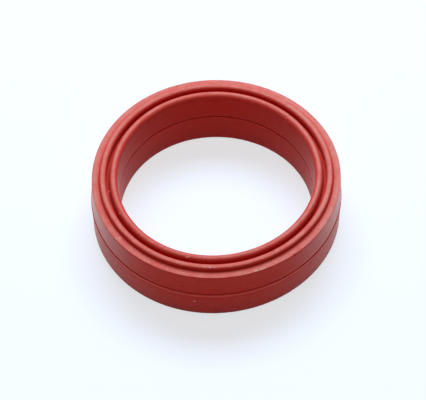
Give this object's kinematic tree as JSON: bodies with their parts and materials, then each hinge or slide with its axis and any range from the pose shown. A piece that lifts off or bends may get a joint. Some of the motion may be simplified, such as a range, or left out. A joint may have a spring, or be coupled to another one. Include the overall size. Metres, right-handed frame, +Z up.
{
  "type": "valve cover gasket",
  "caption": "Moulded red silicone ring gasket: each end face has a rounded sealing lip, a groove, a lower rib and a flat land around a straight bore.",
  "frame": {"origin": "on the ring's axis, in the plane that the lower lip's crest rests on", "axes": "+Z up along the ring's axis; the ring is round, so X and Y are any two square directions across it"},
  "size_m": [0.0507, 0.0506, 0.014],
  "materials": {
    "silicone": "matt red silicone rubber"
  },
  "bodies": {
    "root": {"gasket_ring": "silicone"}
  },
  "joints": []
}
